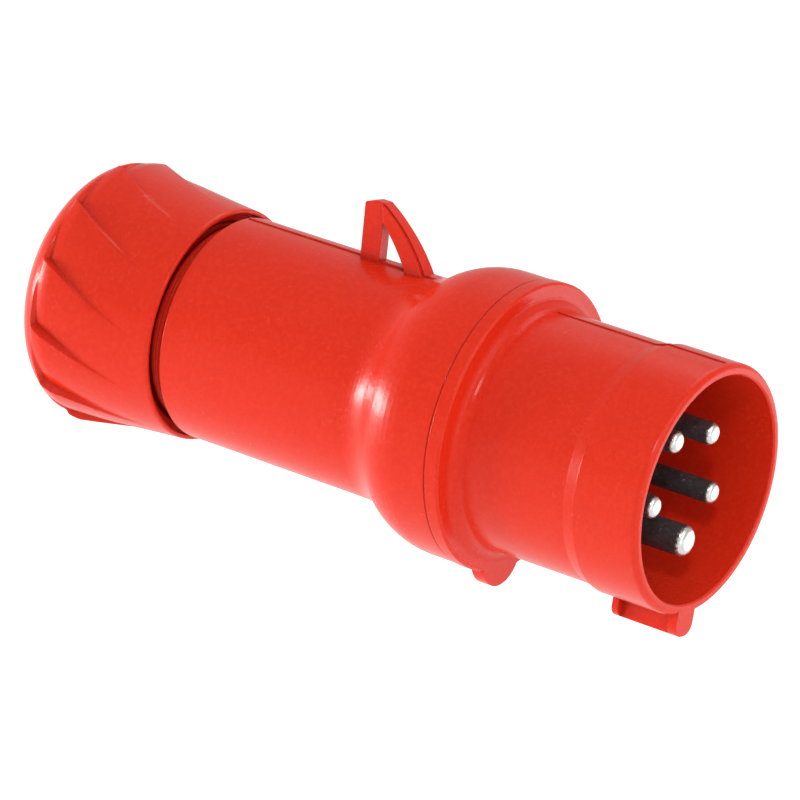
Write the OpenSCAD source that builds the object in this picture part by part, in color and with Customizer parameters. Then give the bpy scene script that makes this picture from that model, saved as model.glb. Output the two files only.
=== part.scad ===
// Industrial pin and sleeve plug, five pins, with a swept gland nut at the cable end.
// The axis is X: the mouth of the sleeve is at X = 0 and the cable end lies at -X.
// The key and the lug point down (-Z), the hanging loop points up (+Z).

/* [Sleeve] */
// Outside diameter at the mouth
mouth_d = 56; // [55:0.5:60]
// Outside diameter behind the front band
sleeve_d = 54.2; // [52.5:0.2:54.8]
// Inside diameter at the mouth
sleeve_bore_d = 51; // [49:0.5:51.5]
// Narrowing of the bore from the mouth to its floor
sleeve_bore_draft = 1.2; // [0:0.2:2]
// Length of the thicker band at the mouth
band_len = 16; // [10:0.2:24]
// Length of the slope behind the band
band_slope = 3.2; // [0.6:0.2:5]
// From the mouth to the flange
sleeve_len = 47.8; // [44:0.2:56]
// Rounding of the outer edge of the mouth
rim_round = 1.4; // [0.4:0.1:1.8]
// Share of the flange's height that its fillet takes
fillet_share = 0.54; // [0.3:0.02:0.7]
// Flange diameter
flange_d = 65.4; // [64.6:0.2:68]
// Flange thickness
flange_t = 3.6; // [3:0.2:5]

/* [Key and lug] */
// Width of the key
key_w = 6.6; // [5:0.2:9]
// From the axis to the bottom of the key
key_reach = 32.8; // [30.5:0.2:34]
// Length of the key
key_len = 16.6; // [12:0.2:24]
// Thickness of the key's end walls
key_wall = 1.9; // [1.2:0.1:3]
// Thickness of the web between the end walls
key_web = 2.2; // [1.2:0.1:4]
// Diameter of the round lug under the flange
lug_d = 14; // [10:0.5:18]
// From the axis to the bottom of the lug
lug_reach = 36.1; // [34.5:0.2:39]

/* [Rear housing] */
// Length of the housing, from the flange to its rear rim
housing_len = 77.1; // [72:0.5:90]
// Step from the flange down to the wide front end
front_step = 0.2; // [0:0.1:0.6]
// Wall thickness outside the bayonet groove
front_wall = 2.5; // [2:0.1:3]
// Length of the straight part of the wide front end
front_len = 7.6; // [6:0.2:12]
// Radius of the shoulder behind it
shoulder_r = 19.6; // [14:0.2:22]
// Radius of the hollow where the shoulder meets the grip
hollow_r = 13.4; // [9:0.2:16]
// Diameter of the grip next to the shoulder
grip_d = 51.5; // [50.5:0.1:53]
// Diameter of the grip at its rear rim
grip_rear_d = 51.2; // [50:0.1:52.5]
// Wall thickness of the grip
grip_wall = 2.5; // [2:0.1:3]
// Rounding of the rear rim
grip_rim_round = 0.5; // [0.3:0.1:1.5]

/* [Hanging loop] */
// From the mouth to the back of the loop
loop_back = 97.2; // [92:0.2:104]
// Height of the loop above the grip
loop_h = 13.2; // [9:0.2:16]
// Length of the loop along the grip
loop_len = 18.6; // [15:0.2:20]
// Length of the flat on top of the loop
loop_flat = 5; // [3:0.2:6]
// Width of the rear leg along the axis
rear_leg = 6; // [4:0.2:6.4]
// Thickness of the loop above its eye
loop_bar = 4.4; // [3.6:0.2:5.2]
// Thickness of the rear leg
rear_leg_t = 3; // [2:0.2:4.4]
// Thickness of the front leg at its top
front_leg_top_t = 3.6; // [2.4:0.2:4.4]
// Thickness of the front leg at its foot
front_leg_foot_t = 5.6; // [4.6:0.2:9]
// Width of the front leg along the axis
front_leg = 5; // [3:0.2:5.4]
// Height of the mould line that runs along the top
mould_line_h = 0.25; // [0.1:0.05:0.5]

/* [Contacts] */
// Radius of the circle on which the pins stand
pitch_r = 12.4; // [12:0.1:13]
// Diameter of the line and neutral pins
pin_d = 5; // [4:0.1:6]
// Diameter of the earth pin
earth_d = 7; // [6:0.1:8]
// From the mouth back to the tips of the line pins
pin_recess = 5; // [2:0.2:8]
// From the mouth back to the tip of the earth pin
earth_recess = 2.5; // [1:0.2:8]
// Diameter of the collar on a line pin
pin_collar_d = 10.2; // [9.6:0.1:11]
// Diameter of the collar on the earth pin
earth_collar_d = 12.2; // [11.6:0.1:13]
// Diameter of a line pin's terminal
terminal_d = 8.4; // [7.4:0.1:9]
// Diameter of the earth pin's terminal
earth_terminal_d = 10; // [9:0.1:11]
// Length of a terminal behind the retainer
terminal_len = 17; // [14:0.5:20]
// Diameter of the hole for a wire
wire_hole_d = 4.2; // [3:0.1:5]
// Diameter of a terminal screw
terminal_screw_d = 4; // [3:0.1:4.4]

/* [Contact carrier] */
// Thickness of the shoulder in the sleeve that stops the carrier
carrier_stop_t = 5.9; // [4:0.1:7]
// Height of the carrier's rim above its body
carrier_rim_h = 3.9; // [2.4:0.1:4.2]
// Thickness of the carrier's rim behind the sleeve's shoulder
carrier_rim_t = 3.4; // [2.4:0.2:4]
// Length of the carrier
carrier_len = 12.5; // [11:0.5:14]
// Thickness of the retainer behind the carrier
retainer_t = 3; // [2.4:0.2:4]
// From the carrier's edge to the middle of a retainer screw
retainer_screw_inset = 3.9; // [3:0.1:4.4]
// Diameter of a retainer screw
retainer_screw_d = 3; // [2.5:0.1:3.5]
// Diameter of a retainer screw's head
retainer_head_d = 5.2; // [4.6:0.1:5.8]

/* [Neck and gland] */
// Diameter of the threaded neck
neck_d = 46; // [45:0.5:47]
// Length of the neck
neck_len = 17.5; // [16:0.5:20]
// Diameter of the seal's seat in the neck
seal_d = 38; // [36:0.5:38]
// Length of the rubber seal
seal_len = 10; // [8:0.5:12]
// Diameter of the hole for the cable in the seal
cable_d = 13; // [9:0.5:17]
// Thickness of the grip cage's collar
cage_collar_t = 1.6; // [1.2:0.1:2]
// Length of the cage's fingers
finger_len = 9; // [7:0.5:10]
// Thickness of the fingers
finger_t = 2.5; // [1.6:0.1:3]
// Narrowing of the cone of fingers from root to tip
finger_taper = 9; // [7:0.5:10]
// Height of the inward hook at a finger's tip
finger_hook = 3; // [1:0.5:4]
// Number of fingers
finger_count = 8; // [6:1:10]
// Width of the slots between the fingers
finger_slot = 1.8; // [1:0.1:2.4]
// Length of the thrust ring
thrust_len = 9; // [8:0.5:9.5]

/* [Gland nut] */
// Gap between the nut and the rear housing
nut_gap = 2.4; // [1.4:0.1:3]
// Length of the nut
nut_len = 37.6; // [37:0.2:44]
// Diameter of the nut at its front lip
nut_front_d = 53.5; // [52:0.2:55]
// Largest diameter of the nut
nut_max_d = 59.7; // [58:0.2:63]
// Diameter of the nut's flat rear face
nut_rear_d = 45.6; // [43:0.2:48]
// Length of the rounding at the rear
nut_rear_round = 10; // [8:0.5:11]
// Number of swept steps around the nut
step_count = 12; // [9:1:15]
// Height of a step where it is highest
step_h = 1.8; // [0.8:0.1:2.4]
// Diameter of the cable hole in the nut
nut_hole_d = 26.4; // [22:0.2:30]
// Diameter of the flared mouth behind it
nut_flare_d = 38; // [34:0.5:40]
// Depth of that flare
nut_flare_depth = 6.4; // [4:0.2:8]

/* [Fits] */
// Gap between fixed pieces
fit_gap = 0.1; // [0.05:0.01:0.15]
// Radial gap between the nut's thread and the neck
thread_gap = 0.1; // [0.05:0.01:0.15]
// Gap around the thrust ring
ring_gap = 0.3; // [0.2:0.05:0.5]
// Gap between the thrust ring and the fingers
finger_gap = 0.9; // [0.8:0.1:1.2]

/* [Hidden] */
FINE = 96;
MEDIUM = 48;
SMALL = 24;
ARC_STEPS = 8;
PIN_COUNT = 5;
PIN_PITCH = 360 / PIN_COUNT;
OVER = 1;                       // length by which a cutter passes a face

// Stations along the axis, from the mouth back
flange_x = -sleeve_len;
joint_x = flange_x - flange_t;
flange_fillet = fillet_share * (flange_d - sleeve_d) / 2;
carrier_seat_x = flange_x - 1.6;
well_x = carrier_seat_x + carrier_stop_t;
well_depth = -well_x;
rear_rim_x = joint_x - housing_len;
neck_end_x = rear_rim_x - neck_len;
nut_x = rear_rim_x - nut_gap;

// Bayonet between the spigot and the housing
bayonet_count = 3;
bayonet_h = 1.6;
groove_gap = 0.3;

// Sleeve: shoulder that stops the carrier, seat behind it and spigot in the housing
front_d = flange_d - 2 * front_step;
spigot_wall = 1.8;
spigot_len = 11;
spigot_d = front_d - 2 * (front_wall + groove_gap + bayonet_h);
spigot_end_x = joint_x - spigot_len;
carrier_seat_d = spigot_d - 2 * spigot_wall;
carrier_rim_d = carrier_seat_d - 2 * fit_gap;
carrier_d = carrier_rim_d - 2 * carrier_rim_h;
retainer_screw_r = carrier_d / 2 - retainer_screw_inset;
shoulder_bore_d = carrier_d + 2 * fit_gap;
bayonet_t = 2.8;
bayonet_angle = 20;
bayonet_turn = 40;
bayonet_x = spigot_end_x + 1;

// Gasket between the flange and the housing
gasket_t = 1;
gasket_w = 1.2;
gasket_in_d = spigot_d + 2 * (bayonet_h + 0.9);
seam = 0.3;

// Carrier, retainer and pins
carrier_x = well_x;
carrier_back_x = carrier_x - carrier_len;
collar_t = 2;
tip_share = 0.24;               // rounding of a pin's tip, as a share of its diameter
seat_step = 0.4;
retainer_back_x = carrier_back_x - retainer_t;
terminal_end_x = retainer_back_x - terminal_len;
wire_hole_len = 13;
terminal_screw_x = retainer_back_x - 0.55 * terminal_len;
terminal_screw_head_h = 2.6;
retainer_screw_angle = 108;
retainer_screw_len = 9;
retainer_head_t = 1.8;

// Housing hollow
housing_bore_d = spigot_d + 2 * fit_gap;
end_wall = 3;
blend = shoulder_r + hollow_r;
blend_drop = (front_d - grip_d) / 2;
blend_angle = acos(1 - blend_drop / blend);
blend_len = blend * sin(blend_angle);
front_end_x = joint_x - front_len;
grip_x = front_end_x - blend_len;

// Loop
grip_top = grip_d / 2;
pad_h = 0.4;
pad_w = 2.4;
pad_front = 5;
loop_arc_r = 38;
loop_crown = 0.8;               // fall of the loop's top towards its back corner

// Gland
seal_seat_x = neck_end_x + seal_len + 2;
seal_x = seal_seat_x;
cage_spigot_len = 2;
cage_collar_d = neck_d - 1;
cage_x = neck_end_x - cage_collar_t;
finger_root_d = seal_d - 2;
finger_tip_d = finger_root_d - finger_taper;
thrust_gap = 1.9;
thrust_x = cage_x - thrust_gap;
thrust_d = neck_d - 1.6;
nut_cavity_d = thrust_d + 2 * ring_gap;
nut_thread_d = neck_d + 2 * thread_gap;
nut_floor_x = thrust_x - thrust_len - ring_gap;
nut_end_x = nut_x - nut_len;

RED = [0.85, 0.16, 0.10];
DARK = [0.20, 0.20, 0.21];
RUBBER = [0.10, 0.10, 0.10];
NICKEL = [0.72, 0.72, 0.70];
STEEL = [0.60, 0.61, 0.62];

// Points of an arc around c, from angle a to angle b
function arc(c, r, a, b, n = ARC_STEPS) =
    [for (i = [0 : n]) c + r * [cos(a + (b - a) * i / n), sin(a + (b - a) * i / n)]];

// Radius of the bore at a distance behind the mouth
function bore_r(depth) = (sleeve_bore_d - sleeve_bore_draft * depth / well_depth) / 2;

// Revolves an outline of [radius, x] points about the X axis
module revolve(points, fn = FINE) {
    rotate([0, 90, 0])
        rotate_extrude($fn = fn)
            polygon(points);
}

// A round bar along X from x1 back to x0
module bar(x0, x1, d, fn = FINE) {
    translate([x0, 0, 0])
        rotate([0, 90, 0])
            cylinder(h = x1 - x0, d = d, $fn = fn);
}

// Places children on the circle of pins, at an angle from straight down
module at_pin(angle, radius = pitch_r) {
    rotate([angle, 0, 0])
        translate([0, 0, -radius])
            children();
}

// ---- Sleeve ----

function sleeve_outline() = concat(
    [[shoulder_bore_d / 2 - OVER, 0]],
    arc([mouth_d / 2 - rim_round, -rim_round], rim_round, 90, 0),
    [
        [mouth_d / 2, -band_len],
        [mouth_d / 2 - 0.25, -band_len - 0.3],
        [sleeve_d / 2, -band_len - band_slope],
        [sleeve_d / 2, flange_x + flange_fillet]
    ],
    arc([sleeve_d / 2 + flange_fillet, flange_x + flange_fillet], flange_fillet, 180, 270),
    [
        [flange_d / 2 - 0.5, flange_x],
        [flange_d / 2, flange_x - 0.5],
        [flange_d / 2, joint_x + seam],
        [flange_d / 2 - seam, joint_x],
        [spigot_d / 2, joint_x],
        [spigot_d / 2, spigot_end_x],
        [shoulder_bore_d / 2 - OVER, spigot_end_x]
    ]
);

function sleeve_hollow() = [
    [0, OVER],
    [bore_r(0) + 0.35, OVER],
    [bore_r(0) + 0.35, 0],
    [bore_r(0), -0.35],
    [bore_r(well_depth), well_x],
    [shoulder_bore_d / 2, well_x],
    [shoulder_bore_d / 2, carrier_seat_x],
    [carrier_seat_d / 2, carrier_seat_x],
    [carrier_seat_d / 2, spigot_end_x - OVER],
    [0, spigot_end_x - OVER]
];

// The coding key: end walls joined by a web, with a pocket on each side
module key() {
    corner = key_w * 0.4;
    root = sleeve_d / 2 - 0.5;
    tongue = concat(
        [[-key_w / 2, -root]],
        arc([corner - key_w / 2, corner - key_reach], corner, 180, 270),
        arc([key_w / 2 - corner, corner - key_reach], corner, 270, 360),
        [[key_w / 2, -root]]
    );
    module slab(x0, x1) {
        translate([x0, 0, 0])
            rotate([90, 0, 90])
                linear_extrude(x1 - x0)
                    polygon(tongue);
    }
    slab(-key_wall - 0.3, 0);
    slab(-key_len, key_wall - 0.3 - key_len);
    translate([-key_len, -key_web / 2, -key_reach])
        cube([key_len, key_web, key_reach - root]);
}

// The round lug under the flange that a socket's lid holds
module lug() {
    translate([joint_x + seam, 0, 0])
        rotate([0, 90, 0])
            difference() {
                translate([lug_reach - lug_d / 2, 0, 0])
                    cylinder(h = flange_t - seam, d = lug_d, $fn = MEDIUM);
                translate([0, 0, -OVER])
                    cylinder(h = flange_t + 2 * OVER, d = flange_d - 2, $fn = MEDIUM);
            }
}

module bayonet_lugs() {
    for (i = [0 : bayonet_count - 1])
        rotate([i * 360 / bayonet_count, 0, 0])
            translate([bayonet_x, 0, 0])
                rotate([0, 90, 0])
                    rotate([0, 0, -bayonet_angle / 2])
                        rotate_extrude(angle = bayonet_angle, $fn = FINE)
                            translate([spigot_d / 2 - 0.4, 0])
                                square([bayonet_h + 0.4, bayonet_t]);
}

module gasket_groove(extra) {
    revolve([
        [gasket_in_d / 2 - extra, joint_x - extra],
        [gasket_in_d / 2 + gasket_w + extra, joint_x - extra],
        [gasket_in_d / 2 + gasket_w + extra, joint_x + gasket_t],
        [gasket_in_d / 2 - extra, joint_x + gasket_t]
    ]);
}

// A low ridge along the top that follows [x, radius] points
module mould_line(points) {
    n = len(points);
    rotate([90, 0, 0])
        linear_extrude(0.8, center = true)
            polygon(concat(
                [for (p = points) p + [0, mould_line_h]],
                [for (i = [n - 1 : -1 : 0]) points[i] - [0, 0.6]]
            ));
}

module sleeve() {
    color(RED) {
        difference() {
            union() {
                revolve(sleeve_outline());
                key();
                lug();
                mould_line([
                    [-rim_round - 0.3, mouth_d / 2],
                    [-band_len, mouth_d / 2],
                    [-band_len - band_slope, sleeve_d / 2],
                    [flange_x + flange_fillet + 0.3, sleeve_d / 2]
                ]);
            }
            revolve(sleeve_hollow());
            gasket_groove(0.001);
        }
        bayonet_lugs();
    }
}

module flange_gasket() {
    color(RUBBER)
        gasket_groove(0);
}

// ---- Rear housing ----

function housing_outline() = concat(
    [[neck_d / 2 - OVER, joint_x], [front_d / 2 - seam, joint_x], [front_d / 2, joint_x - seam]],
    arc([front_d / 2 - shoulder_r, front_end_x], shoulder_r, 0, -blend_angle),
    arc([grip_d / 2 + hollow_r, grip_x], hollow_r, 180 - blend_angle, 180),
    [[grip_rear_d / 2, rear_rim_x + grip_rim_round]],
    arc([grip_rear_d / 2 - grip_rim_round, rear_rim_x + grip_rim_round], grip_rim_round, 0, -90, 4),
    [
        [neck_d / 2, rear_rim_x],
        [neck_d / 2, neck_end_x + 0.8],
        [neck_d / 2 - 0.8, neck_end_x],
        [0, neck_end_x],
        [0, joint_x]
    ]
);

function housing_hollow() = [
    [0, joint_x + OVER],
    [housing_bore_d / 2, joint_x + OVER],
    [housing_bore_d / 2, spigot_end_x - 1.5],
    [grip_d / 2 - grip_wall, grip_x],
    [grip_rear_d / 2 - grip_wall, rear_rim_x + end_wall],
    [nut_hole_d / 2, rear_rim_x + end_wall],
    [nut_hole_d / 2, seal_seat_x],
    [seal_d / 2, seal_seat_x],
    [seal_d / 2, neck_end_x - OVER],
    [0, neck_end_x - OVER]
];

module bayonet_groove() {
    top_d = spigot_d + 2 * bayonet_h + 2 * groove_gap;
    revolve([
        [spigot_d / 2 - 0.5, bayonet_x - groove_gap],
        [top_d / 2, bayonet_x - groove_gap],
        [top_d / 2, bayonet_x + bayonet_t + groove_gap],
        [spigot_d / 2 - 0.5, bayonet_x + bayonet_t + groove_gap]
    ]);
    for (i = [0 : bayonet_count - 1])
        rotate([i * 360 / bayonet_count + bayonet_turn, 0, 0])
            translate([bayonet_x, 0, 0])
                rotate([0, 90, 0])
                    rotate([0, 0, -bayonet_angle / 2 - 2])
                        rotate_extrude(angle = bayonet_angle + 4, $fn = FINE)
                            translate([spigot_d / 2 - 0.5, 0])
                                square([bayonet_h + 0.5 + groove_gap, joint_x - bayonet_x + OVER]);
}

// Side view of the loop, as [x, z] points with z from the axis
loop_top = grip_top + loop_h;
loop_back_x = -loop_back;
loop_front_x = loop_back_x + loop_len;
loop_flat_x = loop_back_x + loop_flat;
eye_floor = grip_top + pad_h - 0.25;
leg_inset = 0.15;

// Outer curve of the front leg, bulging outwards between two points
function bulged(p, q, r, n = ARC_STEPS) =
    let (
        chord = q - p,
        len = norm(chord),
        side = [-chord[1], chord[0]] / len,
        drop = sqrt(r * r - len * len / 4),
        c = (p + q) / 2 - side * drop,
        a = atan2(p[1] - c[1], p[0] - c[0]),
        b = atan2(q[1] - c[1], q[0] - c[0])
    )
    arc(c, r, a, b, n);

// Front side of the eye, from its top to its foot, moved forward by an inset
function eye_front(inset) =
    bulged(
        [loop_back_x + rear_leg - 0.4 + inset, loop_top - loop_bar + inset],
        [loop_front_x - front_leg + inset, eye_floor],
        loop_arc_r + front_leg
    );

module loop_web() {
    linear_extrude(rear_leg_t, center = true)
        difference() {
            polygon(concat(
                [[loop_back_x + 1.1, grip_top - 1.2], [loop_back_x, loop_top - loop_crown - 0.3]],
                [[loop_back_x + 0.3, loop_top - loop_crown], [loop_flat_x - 2.4, loop_top]],
                bulged([loop_flat_x, loop_top], [loop_front_x, grip_top], loop_arc_r),
                [[loop_front_x + 0.6, grip_top - 1.2]]
            ));
            polygon(concat(
                [[loop_back_x + rear_leg, eye_floor]],
                [[loop_back_x + rear_leg - 0.6, loop_top - loop_bar - 0.6]],
                eye_front(0)
            ));
        }
}

// The front leg grows wider towards its foot, on both sides of the web
module front_leg_flare() {
    n = ARC_STEPS;
    inner = eye_front(leg_inset);
    outline = concat(
        bulged(
            [loop_flat_x - 0.3, loop_top - 2 * leg_inset],
            [loop_front_x - 1.5 * leg_inset, grip_top - 0.4],
            loop_arc_r
        ),
        [
            [loop_front_x - leg_inset, grip_top - 1.6],
            [loop_front_x - front_leg + leg_inset, grip_top - 1.6]
        ],
        [for (i = [n : -1 : 0]) inner[i]]
    );
    intersection() {
        rotate([90, 0, 0])
            linear_extrude(2 * front_leg_foot_t, center = true)
                polygon(outline);
        translate([loop_back_x, 0, 0])
            rotate([90, 0, 90])
                linear_extrude(2 * loop_len)
                    polygon([
                        [-front_leg_foot_t / 2, grip_top - 3],
                        [front_leg_foot_t / 2, grip_top - 3],
                        [front_leg_foot_t / 2, grip_top],
                        [front_leg_top_t / 2, loop_top + OVER],
                        [-front_leg_top_t / 2, loop_top + OVER],
                        [-front_leg_foot_t / 2, grip_top]
                    ]);
    }
}

module loop() {
    rotate([90, 0, 0])
        loop_web();
    front_leg_flare();
    // Low pad under the loop
    translate([loop_back_x + 1.2, -pad_w / 2, grip_top - 1])
        cube([loop_len + pad_front, pad_w, 1 + pad_h]);
}

module rear_housing() {
    color(RED)
        difference() {
            union() {
                revolve(housing_outline());
                loop();
                mould_line([
                    [rear_rim_x + grip_rim_round + 0.3, grip_rear_d / 2],
                    [loop_back_x + 2, grip_top]
                ]);
            }
            revolve(housing_hollow());
            bayonet_groove();
        }
}

// ---- Contacts ----

module contact_carrier() {
    color(DARK)
        difference() {
            union() {
                bar(carrier_back_x, carrier_x, carrier_d);
                bar(carrier_seat_x - carrier_rim_t, carrier_seat_x, carrier_rim_d);
            }
            for (i = [0 : PIN_COUNT - 1]) {
                d = i == 0 ? earth_d : pin_d;
                collar = i == 0 ? earth_collar_d : pin_collar_d;
                at_pin(i * PIN_PITCH) {
                    bar(carrier_back_x - OVER, carrier_x + OVER, d + 2 * (seat_step + fit_gap), MEDIUM);
                    bar(carrier_back_x - OVER, carrier_back_x + collar_t, collar + 2 * fit_gap, MEDIUM);
                }
            }
            for (side = [-1, 1])
                at_pin(side * retainer_screw_angle, retainer_screw_r)
                    bar(retainer_back_x - OVER, retainer_back_x + retainer_screw_len,
                        retainer_screw_d + 2 * fit_gap, SMALL);
        }
}

module carrier_retainer() {
    color(DARK)
        difference() {
            bar(retainer_back_x, carrier_back_x, carrier_d);
            for (i = [0 : PIN_COUNT - 1]) {
                d = i == 0 ? earth_terminal_d : terminal_d;
                at_pin(i * PIN_PITCH)
                    bar(retainer_back_x - OVER, carrier_back_x + OVER, d + 2 * fit_gap, MEDIUM);
            }
            for (side = [-1, 1])
                at_pin(side * retainer_screw_angle, retainer_screw_r)
                    bar(retainer_back_x - OVER, carrier_back_x + OVER,
                        retainer_screw_d + 2 * fit_gap, SMALL);
        }
}

module retainer_screw(side) {
    color(STEEL)
        at_pin(side * retainer_screw_angle, retainer_screw_r)
            difference() {
                union() {
                    bar(retainer_back_x, retainer_back_x + retainer_screw_len - 0.5,
                        retainer_screw_d, SMALL);
                    bar(retainer_back_x - retainer_head_t, retainer_back_x, retainer_head_d, SMALL);
                }
                for (a = [0, 90])
                    rotate([a, 0, 0])
                        translate([retainer_back_x - retainer_head_t - OVER, -0.35, -1.5])
                            cube([OVER + 1, 0.7, 3]);
            }
}

// A pin with its rounded tip, its collar and the terminal behind it
module pin(i, recess, d, collar, terminal) {
    tip_round = tip_share * d;
    color(NICKEL)
        at_pin(i * PIN_PITCH)
            difference() {
                revolve(concat(
                    [[0, terminal_end_x], [0, -recess]],
                    arc([d / 2 - tip_round, -recess - tip_round], tip_round, 90, 0),
                    [
                        [d / 2, carrier_x],
                        [d / 2 + seat_step, carrier_x],
                        [d / 2 + seat_step, carrier_back_x + collar_t],
                        [collar / 2, carrier_back_x + collar_t],
                        [collar / 2, carrier_back_x],
                        [terminal / 2, carrier_back_x],
                        [terminal / 2, terminal_end_x + 0.5],
                        [terminal / 2 - 0.5, terminal_end_x]
                    ]
                ), MEDIUM);
                bar(terminal_end_x - OVER, terminal_end_x + wire_hole_len, wire_hole_d, SMALL);
                translate([terminal_screw_x, 0, -terminal])
                    cylinder(h = terminal, d = terminal_screw_d + 2 * fit_gap, $fn = SMALL);
            }
}

module pin_earth() {
    pin(0, earth_recess, earth_d, earth_collar_d, earth_terminal_d);
}

module line_pin(i) {
    pin(i, pin_recess, pin_d, pin_collar_d, terminal_d);
}

// A slotted grub screw that clamps the wire in terminal i
module terminal_screw(i, terminal) {
    length = (terminal - wire_hole_d) / 2 + terminal_screw_head_h - 0.1;
    color(STEEL)
        at_pin(i * PIN_PITCH)
            translate([terminal_screw_x, 0, -terminal / 2 - terminal_screw_head_h])
                difference() {
                    cylinder(h = length, d = terminal_screw_d, $fn = SMALL);
                    translate([-terminal_screw_d, -0.4, -OVER])
                        cube([2 * terminal_screw_d, 0.8, OVER + 1]);
                }
}

// ---- Cable gland ----

module cable_seal() {
    color(RUBBER)
        revolve([
            [cable_d / 2, seal_x],
            [seal_d / 2 - fit_gap, seal_x],
            [seal_d / 2 - fit_gap, seal_x - seal_len],
            [cable_d / 2, seal_x - seal_len]
        ]);
}

// A collar that sits on the neck, with conical fingers that close on the cable
module grip_cage() {
    tip_x = cage_x - finger_len;
    color(DARK)
        difference() {
            revolve([
                [finger_root_d / 2 - finger_t, neck_end_x + cage_spigot_len],
                [seal_d / 2 - fit_gap, neck_end_x + cage_spigot_len],
                [seal_d / 2 - fit_gap, neck_end_x],
                [cage_collar_d / 2, neck_end_x],
                [cage_collar_d / 2, cage_x],
                [finger_root_d / 2, cage_x],
                [finger_tip_d / 2, tip_x],
                [finger_tip_d / 2 - finger_t - finger_hook, tip_x],
                [finger_tip_d / 2 - finger_t - finger_hook, tip_x + 1.2],
                [finger_tip_d / 2 - finger_t, tip_x + 2.4],
                [finger_root_d / 2 - finger_t, cage_x]
            ]);
            for (i = [0 : finger_count - 1])
                rotate([i * 360 / finger_count, 0, 0])
                    translate([tip_x - OVER, -finger_slot / 2, 0])
                        cube([finger_len + OVER, finger_slot, finger_root_d]);
        }
}

// Outside radius of the fingers at a place along the axis
function finger_r(x) =
    (finger_root_d + (finger_tip_d - finger_root_d) * (cage_x - x) / finger_len) / 2;

module thrust_ring() {
    back_x = thrust_x - thrust_len;
    cone_end_x = max(cage_x - finger_len, back_x + 1);
    color(DARK)
        revolve([
            [finger_r(thrust_x) + finger_gap, thrust_x],
            [thrust_d / 2, thrust_x],
            [thrust_d / 2, back_x],
            [finger_r(cone_end_x) + finger_gap, back_x],
            [finger_r(cone_end_x) + finger_gap, cone_end_x]
        ]);
}

// ---- Gland nut ----

lip_round = 0.5;
lip_depth = 2.2;                // the lip stands in front of the thread by this
lip_bore_d = nut_front_d - 4 * lip_round;
sweep_rate = 0.6;               // degrees of sweep for each millimetre at the front
sweep_growth = 0.0075;          // growth of that rate towards the rear
sweep_start = 4.35;             // where the first step starts, from straight up
step_start = 3;                 // distance from the lip at which the steps begin
riser_angle = 1.4;
FACE_STEPS = 4;
flare_x = nut_end_x + nut_flare_depth;
flare_land = 0.8;
widest = nut_len - nut_rear_round;
flare_rate = ((nut_max_d - nut_front_d) / 2 - 0.07 * widest) / (widest * widest);

// Mean radius of the nut at distance t behind its lip
function nut_r(t) =
    t < lip_round ? nut_front_d / 2 - lip_round + sqrt(max(0, t * (2 * lip_round - t))) :
    t <= widest ? nut_front_d / 2 + 0.07 * t + flare_rate * t * t :
    nut_max_d / 2 - (nut_max_d - nut_rear_d) / 2 * pow((t - widest) / nut_rear_round, 2.4);

function eased(u) =
    let (v = max(0, min(1, u)))
    v * v * (3 - 2 * v);

// Height of the steps at distance t behind the lip, which end bluntly at the rear
function step_at(t) =
    t <= step_start ? 0 :
    t <= widest ? step_h * pow((t - step_start) / (widest - step_start), 2.1) :
    step_h * (1 - eased((t - widest) / nut_rear_round / 0.2 - 1.1));

function sweep_at(t) = sweep_start - sweep_rate * t - sweep_growth * t * t;

// Ring of points around the nut: each step rises at once and falls away slowly
function nut_ring(t) =
    let (pitch = 360 / step_count, face = pitch - riser_angle)
    [for (k = [0 : step_count - 1], j = [0 : FACE_STEPS])
        let (
            part = j / FACE_STEPS,
            a = sweep_at(t) + k * pitch + riser_angle + part * face,
            r = nut_r(t) + step_at(t) * (0.3 - part)
        )
        [nut_x - t, -r * sin(a), r * cos(a)]];

nut_stations = concat(
    [for (u = [0, 0.14, 0.45, 1]) lip_round * u],
    [for (i = [0 : 11]) step_start + (widest - step_start) * i / 11],
    [for (u = [0.12, 0.22, 0.28, 0.32, 0.36, 0.42, 0.57, 0.71, 0.83, 0.92, 1]) widest + nut_rear_round * u]
);

module nut_body() {
    n = step_count * (FACE_STEPS + 1);
    rings = len(nut_stations);
    points = [for (t = nut_stations) each nut_ring(t)];
    front_cap = [for (i = [0 : n - 1]) i];
    rear_cap = [for (i = [n - 1 : -1 : 0]) (rings - 1) * n + i];
    skin = [
        for (s = [0 : rings - 2], i = [0 : n - 1])
            let (
                a = s * n + i,
                b = s * n + (i + 1) % n,
                c = a + n,
                d = b + n
            )
            each [[a, c, b], [b, c, d]]
    ];
    polyhedron(points, concat([front_cap, rear_cap], skin), convexity = 6);
}

module gland_nut() {
    color(RED)
        difference() {
            nut_body();
            revolve([
                [0, nut_x + OVER],
                [lip_bore_d / 2, nut_x + OVER],
                [lip_bore_d / 2, nut_x - lip_depth],
                [nut_thread_d / 2 + 0.8, nut_x - lip_depth],
                [nut_thread_d / 2, nut_x - lip_depth - 0.8],
                [nut_thread_d / 2, thrust_x],
                [nut_cavity_d / 2, thrust_x],
                [nut_cavity_d / 2, nut_floor_x],
                [nut_hole_d / 2, nut_floor_x],
                [nut_hole_d / 2, flare_x],
                [nut_flare_d / 2, nut_end_x + flare_land],
                [nut_flare_d / 2, nut_end_x - OVER],
                [0, nut_end_x - OVER]
            ]);
        }
}

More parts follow.
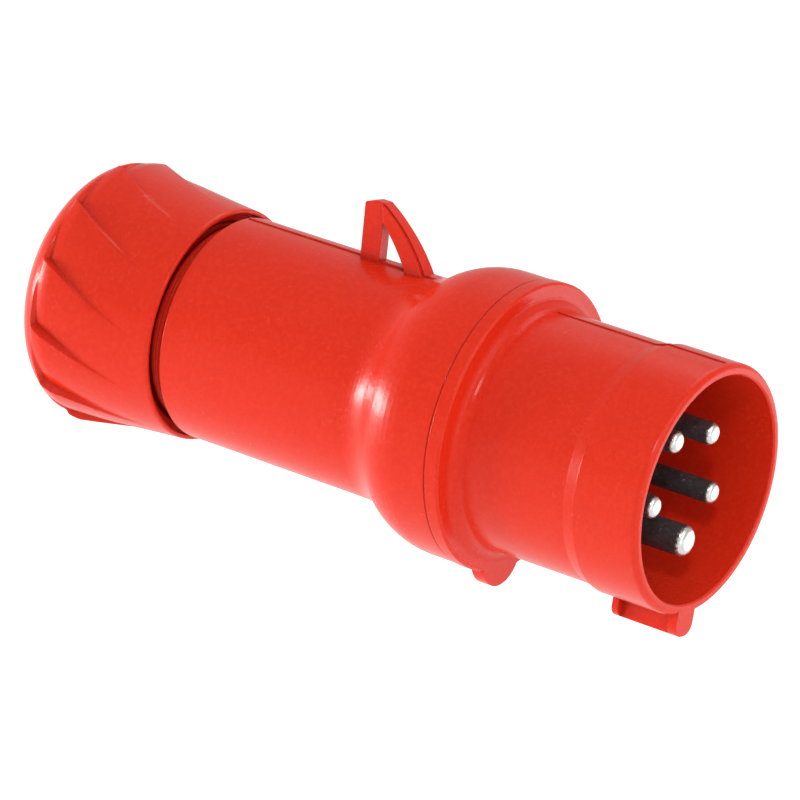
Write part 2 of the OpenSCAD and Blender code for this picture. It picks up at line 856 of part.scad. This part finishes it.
sleeve();
rear_housing();
flange_gasket();
contact_carrier();
carrier_retainer();
retainer_screw(-1);  // retainer_screw_left
retainer_screw(1);  // retainer_screw_right
pin_earth();
line_pin(1);  // pin_line_1
line_pin(2);  // pin_line_2
line_pin(3);  // pin_line_3
line_pin(4);  // pin_neutral
terminal_screw(0, earth_terminal_d);  // terminal_screw_earth
terminal_screw(1, terminal_d);  // terminal_screw_line_1
terminal_screw(2, terminal_d);  // terminal_screw_line_2
terminal_screw(3, terminal_d);  // terminal_screw_line_3
terminal_screw(4, terminal_d);  // terminal_screw_neutral
cable_seal();
grip_cage();
thrust_ring();
gland_nut();
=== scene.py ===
"""Dresses the CAD model of a pin and sleeve plug and shows it as the photograph does."""

import math

import bpy
from mathutils import Matrix, Vector


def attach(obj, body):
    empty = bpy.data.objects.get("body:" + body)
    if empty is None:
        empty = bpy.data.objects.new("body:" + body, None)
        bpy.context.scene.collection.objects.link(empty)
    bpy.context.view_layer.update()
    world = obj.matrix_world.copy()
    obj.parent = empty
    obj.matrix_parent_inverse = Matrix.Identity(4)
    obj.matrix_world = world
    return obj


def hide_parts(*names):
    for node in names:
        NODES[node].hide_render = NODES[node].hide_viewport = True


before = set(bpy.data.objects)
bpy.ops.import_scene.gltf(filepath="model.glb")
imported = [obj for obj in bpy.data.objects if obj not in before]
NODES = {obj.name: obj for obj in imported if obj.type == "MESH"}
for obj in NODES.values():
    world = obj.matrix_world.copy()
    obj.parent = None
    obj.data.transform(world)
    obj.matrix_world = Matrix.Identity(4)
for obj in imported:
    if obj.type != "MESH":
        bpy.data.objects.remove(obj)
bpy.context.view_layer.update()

MM = 0.001
WHITE = (1.0, 1.0, 1.0, 1.0)


def add_to_scene(obj):
    bpy.context.scene.collection.objects.link(obj)
    return obj


# ---------- camera: the photograph's view, fitted to the ellipses of mouth, flange and nut ----------

CAMERA_PLACE = Vector((0.621485, -1.104663, 0.336806))
CAMERA_RIGHT = Vector((0.80898, 0.56456, 0.16376))
CAMERA_UP = Vector((-0.27565, 0.11829, 0.95395))
LENS_MM = 277.17
SENSOR_MM = 36.0
CLIP_NEAR = 0.05
CLIP_FAR = 30.0


def add_camera():
    lens = bpy.data.cameras.new("camera")
    lens.sensor_fit = "HORIZONTAL"
    lens.sensor_width = SENSOR_MM
    lens.lens = LENS_MM
    lens.clip_start = CLIP_NEAR
    lens.clip_end = CLIP_FAR
    camera = add_to_scene(bpy.data.objects.new("camera", lens))
    back = CAMERA_RIGHT.cross(CAMERA_UP)
    place = Matrix((CAMERA_RIGHT, CAMERA_UP, back)).transposed().to_4x4()
    place.translation = CAMERA_PLACE
    camera.matrix_world = place
    bpy.context.scene.camera = camera


add_camera()


# ---------- material helpers ----------

# The Mix node has a set of sockets for each kind of data. These are the ones for colours.
MIX_FACTOR, MIX_A, MIX_B, MIX_RESULT = 0, 6, 7, 2


class Graph:
    """The node tree of a material or world, built in few words."""

    def __init__(self, owner, output="ShaderNodeOutputMaterial"):
        owner.use_nodes = True
        self.owner = owner
        self.tree = owner.node_tree
        self.tree.nodes.clear()
        self.out = self.tree.nodes.new(output)

    def node(self, kind, inputs=None, **settings):
        """A node with these settings. Each input is a number, a colour or another node's output."""
        made = self.tree.nodes.new(kind)
        for name, value in settings.items():
            setattr(made, name, value)
        for key, value in (inputs or {}).items():
            if isinstance(value, bpy.types.NodeSocket):
                self.tree.links.new(value, made.inputs[key])
            else:
                made.inputs[key].default_value = value
        return made

    def calc(self, operation, a, b=0.0):
        return self.node("ShaderNodeMath", {0: a, 1: b}, operation=operation).outputs[0]

    def noise(self, coord, scale, detail, rough):
        inputs = {"Vector": coord, "Scale": scale, "Detail": detail, "Roughness": rough}
        return self.node("ShaderNodeTexNoise", inputs).outputs["Fac"]

    def ramp(self, value, low, high, at_low, at_high, kind="LINEAR"):
        """Goes from at_low to at_high as value goes from low to high, and stays level beyond them."""
        inputs = {"Value": value, "From Min": low, "From Max": high, "To Min": at_low, "To Max": at_high}
        return self.node("ShaderNodeMapRange", inputs, interpolation_type=kind).outputs["Result"]

    def mix(self, factor, a, b):
        """Colour a where factor is 0, colour b where it is 1."""
        inputs = {MIX_FACTOR: factor, MIX_A: a, MIX_B: b}
        return self.node("ShaderNodeMix", inputs, data_type="RGBA").outputs[MIX_RESULT]

    def rounded(self, radius, samples):
        """The surface normal, as if every edge had this radius."""
        return self.node("ShaderNodeBevel", {"Radius": radius}, samples=samples).outputs["Normal"]

    def bump(self, height, strength, distance, normal):
        inputs = {"Strength": strength, "Distance": distance, "Height": height, "Normal": normal}
        return self.node("ShaderNodeBump", inputs).outputs["Normal"]

    def finish(self, shader):
        self.tree.links.new(shader, self.out.inputs["Surface"])
        return self.owner


def rgb(red, green, blue):
    """A colour given as 0 to 255 on a screen, as the linear values that Blender wants."""
    def linear(value):
        value /= 255.0
        return value / 12.92 if value <= 0.04045 else ((value + 0.055) / 1.055) ** 2.4
    return (linear(red), linear(green), linear(blue), 1.0)


# ---------- plastics and rubber ----------

# Noise scales, in waves per metre, from the finest grain to the marks of the melt's flow
FINE_SCALE, SPECK_SCALE, CLOUD_SCALE, FLOW_SCALE = 2300.0, 900.0, 60.0, 14.0
GRAIN_STRENGTH = 0.8
GRAIN_DEPTH = 0.05 * MM
EDGE_RADIUS = 0.2 * MM
# Width of the paler edges, which are partly wear and partly painted highlight
WEAR_AND_HIGHLIGHT_RADIUS = 0.3 * MM
# How far the ambient occlusion reaches that paints shade into corners, gaps and crevices
PAINTED_SHADE_REACH = 2.6 * MM
PLASTIC_IOR = 1.5

# How strongly each pattern, the paler edges (partly wear, partly painted highlight) and the painted shade
# in corners tint the plastic's colour
CLOUD_TINT, FLOW_TINT, FINE_TINT, SPECK_TINT, WEAR_AND_HIGHLIGHT_TINT, PAINTED_SHADE_TINT = 0.3, 0.25, 0.55, 0.4, 0.6, 0.7

# The thread covers the outside of the neck: behind this x, and further out than the neck's bore
THREAD_PITCH = 3 * MM
THREAD_DEPTH = 0.9 * MM
NECK_FRONT_X = -129.0 * MM
NECK_INSIDE_R = 22.0 * MM


def wear_and_highlight_edges(g, speck):
    """From 0 on flat faces to 1 on sharp edges, broken up by the specks: paler edges that are partly wear
    and partly painted highlight.
    """
    wide = g.rounded(WEAR_AND_HIGHLIGHT_RADIUS, samples=4)
    flat = g.node("ShaderNodeNewGeometry").outputs["Normal"]
    facing = g.node("ShaderNodeVectorMath", {0: wide, 1: flat}, operation="DOT_PRODUCT").outputs["Value"]
    wear_and_highlight = g.ramp(g.calc("SUBTRACT", 1.0, facing), 0.02, 0.2, 0.0, 1.0)
    return g.calc("MULTIPLY", wear_and_highlight, g.ramp(speck, 0.3, 0.6, 0.35, 1.0))


def thread_bump(g, pos, normal):
    """The neck's thread: a rounded ridge that climbs by one pitch in each turn."""
    split = g.node("ShaderNodeSeparateXYZ", {"Vector": pos})
    x, y, z = (split.outputs[axis] for axis in "XYZ")
    turn = g.calc("DIVIDE", g.calc("ARCTAN2", z, y), 2 * math.pi)
    along = g.calc("MULTIPLY", x, 1 / THREAD_PITCH)
    saw = g.calc("PINGPONG", g.calc("ADD", along, turn), 0.5)
    ridge = g.ramp(saw, 0.08, 0.42, 0.0, 1.0, kind="SMOOTHSTEP")
    on_neck = g.calc("LESS_THAN", x, NECK_FRONT_X)
    radius = g.calc("SQRT", g.calc("ADD", g.calc("POWER", y, 2.0), g.calc("POWER", z, 2.0)))
    outside = g.calc("GREATER_THAN", radius, NECK_INSIDE_R)
    height = g.calc("MULTIPLY", ridge, g.calc("MULTIPLY", on_neck, outside))
    return g.bump(height, 1.0, THREAD_DEPTH, normal)


def plastic(name, tones, rough, level=0.5, thread=False):
    """A moulded plastic: spark-eroded grain, faint flow marks, paler edges that are partly wear and partly
    painted highlight, and painted shade in the corners.

    The tones are the plastic's colour, a darker and a paler one, and the colour of the painted shade.
    """
    colour, dark, pale, painted_shade_colour = tones
    g = Graph(bpy.data.materials.new(name))
    pos = g.node("ShaderNodeTexCoord").outputs["Object"]
    fine = g.noise(pos, FINE_SCALE, 2.0, 0.55)
    speck = g.noise(pos, SPECK_SCALE, 3.0, 0.6)
    cloud = g.noise(pos, CLOUD_SCALE, 3.0, 0.55)
    flow = g.noise(pos, FLOW_SCALE, 2.0, 0.5)
    edge = g.rounded(EDGE_RADIUS, samples=6)
    wear_and_highlight = wear_and_highlight_edges(g, speck)
    openness_for_painted_shade = g.node("ShaderNodeAmbientOcclusion", {"Distance": PAINTED_SHADE_REACH}, samples=4).outputs["AO"]

    base = g.mix(g.ramp(cloud, 0.35, 0.65, 0.0, CLOUD_TINT), colour, dark)
    base = g.mix(g.ramp(flow, 0.45, 0.7, 0.0, FLOW_TINT), base, pale)
    base = g.mix(g.ramp(fine, 0.35, 0.5, FINE_TINT, 0.0), base, dark)
    base = g.mix(g.ramp(speck, 0.45, 0.75, 0.0, SPECK_TINT), base, pale)
    # Paler edges: partly wear, partly a painted highlight along every sharp edge
    base = g.mix(g.calc("MULTIPLY", wear_and_highlight, WEAR_AND_HIGHLIGHT_TINT), base, pale)
    # Painted shade: darker where the ambient occlusion finds corners, gaps and crevices closed in
    base = g.mix(g.ramp(openness_for_painted_shade, 0.3, 0.95, PAINTED_SHADE_TINT, 0.0), base, painted_shade_colour)

    patches = g.ramp(cloud, 0.3, 0.7, rough - 0.03, rough + 0.04)
    details = g.calc("ADD", g.ramp(speck, 0.3, 0.7, -0.03, 0.03), g.calc("MULTIPLY", wear_and_highlight, 0.06))
    roughness = g.calc("ADD", patches, details)

    grain = g.calc("ADD", g.calc("MULTIPLY", fine, 0.6), g.calc("MULTIPLY", speck, 0.8))
    normal = g.bump(grain, GRAIN_STRENGTH, GRAIN_DEPTH, edge)
    if thread:
        normal = thread_bump(g, pos, normal)

    shader = g.node("ShaderNodeBsdfPrincipled", {"Base Color": base, "Roughness": roughness,
                                                 "Normal": normal})
    shader.inputs["IOR"].default_value = PLASTIC_IOR
    shader.inputs["Specular IOR Level"].default_value = level
    return g.finish(shader.outputs["BSDF"])


# Each holds the colour, a darker and a paler one, and the dark colour of the painted shade in corners
RED_TONES = (rgb(229, 46, 21), rgb(221, 40, 17), rgb(240, 66, 42), rgb(128, 14, 6))
DARK_TONES = (rgb(58, 58, 60), rgb(44, 44, 46), rgb(72, 72, 74), rgb(24, 24, 25))
RUBBER_TONES = (rgb(34, 34, 35), rgb(24, 24, 25), rgb(46, 46, 47), rgb(14, 14, 14))

RED = plastic("red_plastic", RED_TONES, rough=0.23, level=0.2)
RED_THREADED = plastic("red_plastic_threaded", RED_TONES, rough=0.23, level=0.2, thread=True)
DARK = plastic("dark_plastic", DARK_TONES, rough=0.4)
RUBBER = plastic("seal_rubber", RUBBER_TONES, rough=0.65, level=0.35)


# ---------- metals ----------

METAL_EDGE_RADIUS = 0.12 * MM
SCRATCH_DEPTH = 0.008 * MM
PITTING_DEPTH = 0.02 * MM

ZINC, ZINC_STAIN = rgb(182, 184, 188), rgb(146, 147, 150)
# The shank's dark grey is painted shade, for the pins' sides in the shade inside the sleeve
SHANK_SHADE_GREY, SHANK_STAIN, SHANK_SCRATCH = rgb(74, 74, 77), rgb(52, 52, 55), rgb(136, 136, 138)
TIP, TIP_STAIN = rgb(226, 225, 222), rgb(186, 184, 180)


def drawn_lines(g, pos, stretch, scale):
    """Noise that is drawn out along X. A smaller stretch gives longer lines."""
    drawn = g.node("ShaderNodeMapping", {"Vector": pos, "Scale": (stretch, 1.0, 1.0)}).outputs[0]
    return g.noise(drawn, scale, 3.0, 0.6)


def plated_steel(name, colour, stain, rough):
    """Zinc-plated steel: fine lines along X, stains and softly rubbed edges."""
    g = Graph(bpy.data.materials.new(name))
    pos = g.node("ShaderNodeTexCoord").outputs["Object"]
    lines = drawn_lines(g, pos, 0.05, 6000.0)
    cloud = g.noise(pos, 260.0, 4.0, 0.6)
    base = g.mix(g.ramp(cloud, 0.45, 0.72, 0.0, 0.8), colour, stain)
    base = g.mix(g.ramp(lines, 0.5, 0.75, 0.0, 0.35), base, stain)
    scratched = g.ramp(lines, 0.3, 0.7, rough - 0.05, rough + 0.06)
    roughness = g.calc("ADD", scratched, g.ramp(cloud, 0.4, 0.7, 0.0, 0.08))
    normal = g.bump(lines, 0.3, SCRATCH_DEPTH, g.rounded(METAL_EDGE_RADIUS, samples=4))
    shader = g.node("ShaderNodeBsdfPrincipled", {"Base Color": base, "Roughness": roughness,
                                                 "Normal": normal})
    shader.inputs["Metallic"].default_value = 1.0
    return g.finish(shader.outputs["BSDF"])


def pin_metal(name):
    """Nickel plate with its shank painted dark and dull as the shade inside the sleeve; the rubbed tip
    stays bright.
    """
    g = Graph(bpy.data.materials.new(name))
    coord = g.node("ShaderNodeTexCoord")
    pos = coord.outputs["Object"]
    lines = drawn_lines(g, pos, 0.25, 2600.0)
    cloud = g.noise(pos, 700.0, 4.0, 0.65)
    patch = g.noise(pos, 1500.0, 2.0, 0.5)

    # The tip is where the surface faces along the pin. The patches make its border uneven.
    facing_out = g.node("ShaderNodeSeparateXYZ", {"Vector": coord.outputs["Normal"]}).outputs["X"]
    uneven = g.calc("MULTIPLY", g.calc("SUBTRACT", patch, 0.5), 1.3)
    tip = g.ramp(g.calc("ADD", facing_out, uneven), 0.22, 0.5, 0.0, 1.0)

    # The shank is painted dark as shade; only the tip shows the bright nickel
    shank = g.mix(g.ramp(cloud, 0.4, 0.68, 0.0, 0.8), SHANK_SHADE_GREY, SHANK_STAIN)
    shank = g.mix(g.ramp(lines, 0.6, 0.76, 0.0, 0.55), shank, SHANK_SCRATCH)
    bright = g.mix(g.ramp(cloud, 0.5, 0.8, 0.0, 0.5), TIP, TIP_STAIN)
    base = g.mix(tip, shank, bright)
    roughness = g.calc("ADD", g.ramp(tip, 0.0, 1.0, 0.46, 0.24), g.ramp(lines, 0.3, 0.7, -0.04, 0.06))
    metallic = g.ramp(tip, 0.0, 1.0, 0.25, 1.0)
    normal = g.bump(cloud, 0.5, PITTING_DEPTH, g.rounded(METAL_EDGE_RADIUS, samples=4))
    shader = g.node("ShaderNodeBsdfPrincipled", {"Base Color": base, "Roughness": roughness,
                                                 "Metallic": metallic, "Normal": normal})
    shader.inputs["Specular IOR Level"].default_value = 0.5
    return g.finish(shader.outputs["BSDF"])


NICKEL = pin_metal("nickel_plate")
STEEL = plated_steel("zinc_steel", ZINC, ZINC_STAIN, rough=0.34)


# ---------- the CAD nodes get their materials ----------

def dress(names, material):
    for name in names:
        slots = NODES[name].data.materials
        slots.clear()
        slots.append(material)


dress(["sleeve", "gland_nut"], RED)
dress(["rear_housing"], RED_THREADED)
dress(["contact_carrier", "carrier_retainer", "grip_cage", "thrust_ring"], DARK)
dress(["flange_gasket", "cable_seal"], RUBBER)
dress([name for name in NODES if name.startswith("pin_")], NICKEL)
dress([name for name in NODES if "screw" in name], STEEL)


# ---------- the gland nut, as a fine mesh of the same form ----------

# Lengths are in millimetres and angles in degrees. t is the distance behind the nut's front edge.
NUT_X, NUT_LEN = -130.9, 37.6
NUT_END_X = NUT_X - NUT_LEN
FRONT_R, MAX_R, REAR_R = 26.75, 29.85, 22.8
LIP = 0.5
REAR_ROUNDING, REAR_POWER = 10.0, 2.4
WIDEST = NUT_LEN - REAR_ROUNDING
FRONT_SLOPE = 0.07
FLARE_RATE = ((MAX_R - FRONT_R) - FRONT_SLOPE * WIDEST) / (WIDEST * WIDEST)

# Each step rises at once over STEP_RISER degrees and falls away slowly to the next one. STEP_ABOVE of its
# height stands above nut_r and the rest below. It fades over a share of the rear rounding.
STEPS, STEP_H, STEP_START, STEP_POWER = 12, 1.8, 3.0, 2.1
STEP_PITCH = 360.0 / STEPS
STEP_RISER = 1.4
STEP_ABOVE = 0.3
RISER_POINTS, FACE_POINTS = 4, 14
FADE_START, FADE_LEN = 0.25, 0.1
SWEEP_START, SWEEP_RATE, SWEEP_BEND = 4.35, 0.6, 0.0075

# Rings along the outside: round the lip, then over the steps, then over the rear rounding
LIP_STATIONS = [0.0, 0.02, 0.08, 0.18, 0.32, 0.5, 1.0, 1.8, 2.6]
STEP_SPANS, ROUNDING_SPANS = 44, 50

# The inside, from the rear: cable hole with its flared mouth, cavity, thread and the pocket in the lip
FACE_R, MOUTH_R, HOLE_R = 21.9, 19.0, 13.2
CAVITY_X, CAVITY_R = -158.8, 22.5
NUT_THREAD_X, NUT_THREAD_R = -149.5, 23.1
THREAD_RINGS, THREAD_RING_GAP = 17, 0.9
POCKET_DEPTH, POCKET_R, POCKET_MOUTH_R = 2.2, 25.75, 25.9
SOFT = 0.3
SHARP_ANGLE = 35


def smooth(u):
    """Goes from 0 to 1 with a soft start and end."""
    return u * u * (3 - 2 * u)


def nut_r(t):
    """The nut's radius without its steps: a round lip, a widening body and the rear rounding."""
    if t < LIP:
        return FRONT_R - LIP + math.sqrt(max(0.0, t * (2 * LIP - t)))
    if t <= WIDEST:
        return FRONT_R + FRONT_SLOPE * t + FLARE_RATE * t * t
    return MAX_R - (MAX_R - REAR_R) * ((t - WIDEST) / REAR_ROUNDING) ** REAR_POWER


def step_at(t):
    """The height of a step, which grows from nothing behind the lip and fades on the rear rounding."""
    if t <= STEP_START:
        return 0.0
    if t <= WIDEST:
        return STEP_H * ((t - STEP_START) / (WIDEST - STEP_START)) ** STEP_POWER
    faded = ((t - WIDEST) / REAR_ROUNDING - FADE_START) / FADE_LEN
    return STEP_H * (1 - smooth(min(1.0, max(0.0, faded))))


def sweep_at(t):
    """The angle by which the steps have swept round the nut."""
    return SWEEP_START - SWEEP_RATE * t - SWEEP_BEND * t * t


def step_outline():
    """One turn round the nut, as pairs of an angle and the share of a step's height above nut_r there."""
    one_step = []
    for i in range(RISER_POINTS):
        u = i / RISER_POINTS
        one_step.append((u * STEP_RISER, STEP_ABOVE - 1 + smooth(u)))
    for i in range(FACE_POINTS):
        u = i / FACE_POINTS
        one_step.append((STEP_RISER + u * (STEP_PITCH - STEP_RISER), STEP_ABOVE - u))
    return [(k * STEP_PITCH + turn, share) for k in range(STEPS) for turn, share in one_step]


def nut_inside():
    """The inside, as pairs of x and radius from the rear face forwards."""
    mouth = [(0.0, FACE_R), (0.0, 20.4), (0.05, 19.6), (0.3, 19.15), (0.8, MOUTH_R),
             (3.4, 16.4), (6.2, 13.4), (6.6, HOLE_R)]
    cavity = [(CAVITY_X - SOFT, HOLE_R), (CAVITY_X, HOLE_R + SOFT), (CAVITY_X, 18.0),
              (CAVITY_X, CAVITY_R - SOFT), (CAVITY_X + SOFT, CAVITY_R),
              (NUT_THREAD_X - SOFT, CAVITY_R), (NUT_THREAD_X, CAVITY_R + SOFT), (NUT_THREAD_X, 23.0)]
    thread = [(NUT_THREAD_X + SOFT + THREAD_RING_GAP * i, NUT_THREAD_R) for i in range(THREAD_RINGS)]
    pocket = [(3.05, NUT_THREAD_R), (2.95, 23.2), (2.25, 23.85), (POCKET_DEPTH, 24.0), (POCKET_DEPTH, 25.6),
              (2.1, POCKET_R), (0.15, POCKET_R), (0.05, 25.8), (0.0, POCKET_MOUTH_R)]
    return ([(NUT_END_X + forward, r) for forward, r in mouth] + cavity + thread
            + [(NUT_X - depth, r) for depth, r in pocket])


def ring_point(x, radius, degrees):
    angle = math.radians(degrees)
    return (x * MM, -radius * math.sin(angle) * MM, radius * math.cos(angle) * MM)


def nut_rings():
    """Rings of points, down the outside from the lip to the rear, and back up the inside."""
    outline = step_outline()
    stations = list(LIP_STATIONS)
    stations += [STEP_START + (WIDEST - STEP_START) * i / STEP_SPANS for i in range(STEP_SPANS + 1)]
    stations += [WIDEST + REAR_ROUNDING * i / ROUNDING_SPANS for i in range(1, ROUNDING_SPANS + 1)]
    rings = []
    for t in stations:
        rings.append([ring_point(NUT_X - t, nut_r(t) + step_at(t) * share, sweep_at(t) + turn)
                      for turn, share in outline])

    # The inside turns back evenly, so that its last ring lines up with the first one outside
    inside = nut_inside()
    rear_sweep, front_sweep = sweep_at(NUT_LEN), sweep_at(0.0)
    for i, (x, radius) in enumerate(inside):
        sweep = rear_sweep + (front_sweep - rear_sweep) * i / (len(inside) - 1)
        rings.append([ring_point(x, radius, sweep + turn) for turn, _ in outline])
    return rings


def closed_mesh(name, rings):
    """Joins rings of the same number of points, and the last ring to the first."""
    count, size = len(rings), len(rings[0])
    faces = []
    for ring in range(count):
        here, there = ring * size, (ring + 1) % count * size
        for i in range(size):
            j = (i + 1) % size
            faces.append((here + i, there + i, there + j, here + j))
    mesh = bpy.data.meshes.new(name)
    mesh.from_pydata([point for ring in rings for point in ring], [], faces)
    mesh.validate()
    mesh.update()
    return mesh


def make_nut():
    mesh = closed_mesh("gland_nut_skin", nut_rings())
    skin = add_to_scene(bpy.data.objects.new("gland_nut_skin", mesh))
    for face in mesh.polygons:
        face.use_smooth = True
    mesh.set_sharp_from_angle(angle=math.radians(SHARP_ANGLE))
    mesh.materials.append(RED)
    return skin


nut = make_nut()
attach(nut, "nut")
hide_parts("gland_nut")


# ---------- floor and background ----------

FLOOR_Z, FLOOR_REACH = -0.32, 6.0
FLOOR_COLOUR = (0.9, 0.9, 0.9, 1.0)
FLOOR_GLOW = 0.6
WORLD_LEVEL = 0.56


def floor_material():
    """White to the camera apart from shadows, plain white in reflections, and pale to all other light."""
    g = Graph(bpy.data.materials.new("floor_white"))
    ray = g.node("ShaderNodeLightPath").outputs
    diffuse = g.node("ShaderNodeBsdfDiffuse", {"Color": FLOOR_COLOUR}).outputs[0]
    white = g.node("ShaderNodeEmission", {"Color": WHITE, "Strength": 1.0}).outputs[0]
    glow = g.node("ShaderNodeEmission", {"Color": WHITE, "Strength": FLOOR_GLOW}).outputs[0]
    lit = g.node("ShaderNodeAddShader", {0: diffuse, 1: glow}).outputs[0]
    seen = g.node("ShaderNodeMixShader", {0: ray["Is Camera Ray"], 1: diffuse, 2: lit}).outputs[0]
    mirrored = g.calc("MAXIMUM", ray["Is Glossy Ray"], ray["Is Transmission Ray"])
    return g.finish(g.node("ShaderNodeMixShader", {0: mirrored, 1: seen, 2: white}).outputs[0])


def add_floor():
    corners = [(-FLOOR_REACH, -FLOOR_REACH, FLOOR_Z), (FLOOR_REACH, -FLOOR_REACH, FLOOR_Z),
               (FLOOR_REACH, FLOOR_REACH, FLOOR_Z), (-FLOOR_REACH, FLOOR_REACH, FLOOR_Z)]
    mesh = bpy.data.meshes.new("floor")
    mesh.from_pydata(corners, [], [(0, 1, 2, 3)])
    mesh.materials.append(floor_material())
    return add_to_scene(bpy.data.objects.new("floor", mesh))


def add_world():
    """Even light all round. The camera itself sees white."""
    world = bpy.data.worlds.new("studio")
    bpy.context.scene.world = world
    g = Graph(world, "ShaderNodeOutputWorld")
    seen = g.node("ShaderNodeLightPath").outputs["Is Camera Ray"]
    light = g.node("ShaderNodeBackground", {"Color": WHITE, "Strength": WORLD_LEVEL}).outputs[0]
    white = g.node("ShaderNodeBackground", {"Color": WHITE, "Strength": 1.0}).outputs[0]
    g.finish(g.node("ShaderNodeMixShader", {0: seen, 1: light, 2: white}).outputs[0])


floor = add_floor()
add_world()


# ---------- lamps ----------

PLUG_MIDDLE = Vector((-0.08, 0.0, 0.0))

# These aim at the middle of the plug. Each has its name, its direction and distance from there, its width
# and height (all in metres), and its power in watts.
LAMPS = [
    ("over_mouth", (0.8, -0.1, 0.6), 1.1, 0.7, 0.7, 1.8),
    ("right", (0.97, -0.25, 0.1), 1.1, 0.7, 0.7, 1.4),
    ("right_behind", (0.52, 0.82, -0.15), 1.2, 0.7, 0.7, 2.2),
    ("top_behind", (-0.1, 0.45, 0.9), 1.1, 0.7, 0.7, 2.4),
    ("low_left", (-0.9, -0.3, -0.25), 0.8, 0.4, 0.4, 0.6),
    ("streak_left", (-0.93, -0.32, -0.09), 1.2, 0.5, 0.16, 8.0),
    ("streak_top", (0.45, -0.7, 0.55), 1.2, 0.13, 0.13, 2.4),
]

# These two shine down on the floor, which sends their light up at the plug's under side
TABLE_LAMPS = [("table_near", (-0.08, -0.2, -0.1)), ("table_far", (-0.08, 0.22, -0.1))]
TABLE_LAMP_SIZE, TABLE_LAMP_POWER = 0.4, 0.6


def soft_box(name, place, width, height, power):
    """A rectangular lamp, which shines straight down until it is turned."""
    light = bpy.data.lights.new(name, "AREA")
    light.shape = "RECTANGLE"
    light.size = width
    light.size_y = height
    light.energy = power
    lamp = add_to_scene(bpy.data.objects.new(name, light))
    lamp.location = place
    return lamp


def add_lamps():
    for name, way, distance, width, height, power in LAMPS:
        place = PLUG_MIDDLE + Vector(way).normalized() * distance
        lamp = soft_box(name, place, width, height, power)
        lamp.rotation_euler = (PLUG_MIDDLE - lamp.location).to_track_quat("-Z", "Y").to_euler()
    for name, place in TABLE_LAMPS:
        soft_box(name, place, TABLE_LAMP_SIZE, TABLE_LAMP_SIZE, TABLE_LAMP_POWER)


add_lamps()
bpy.context.scene.view_settings.view_transform = "Standard"
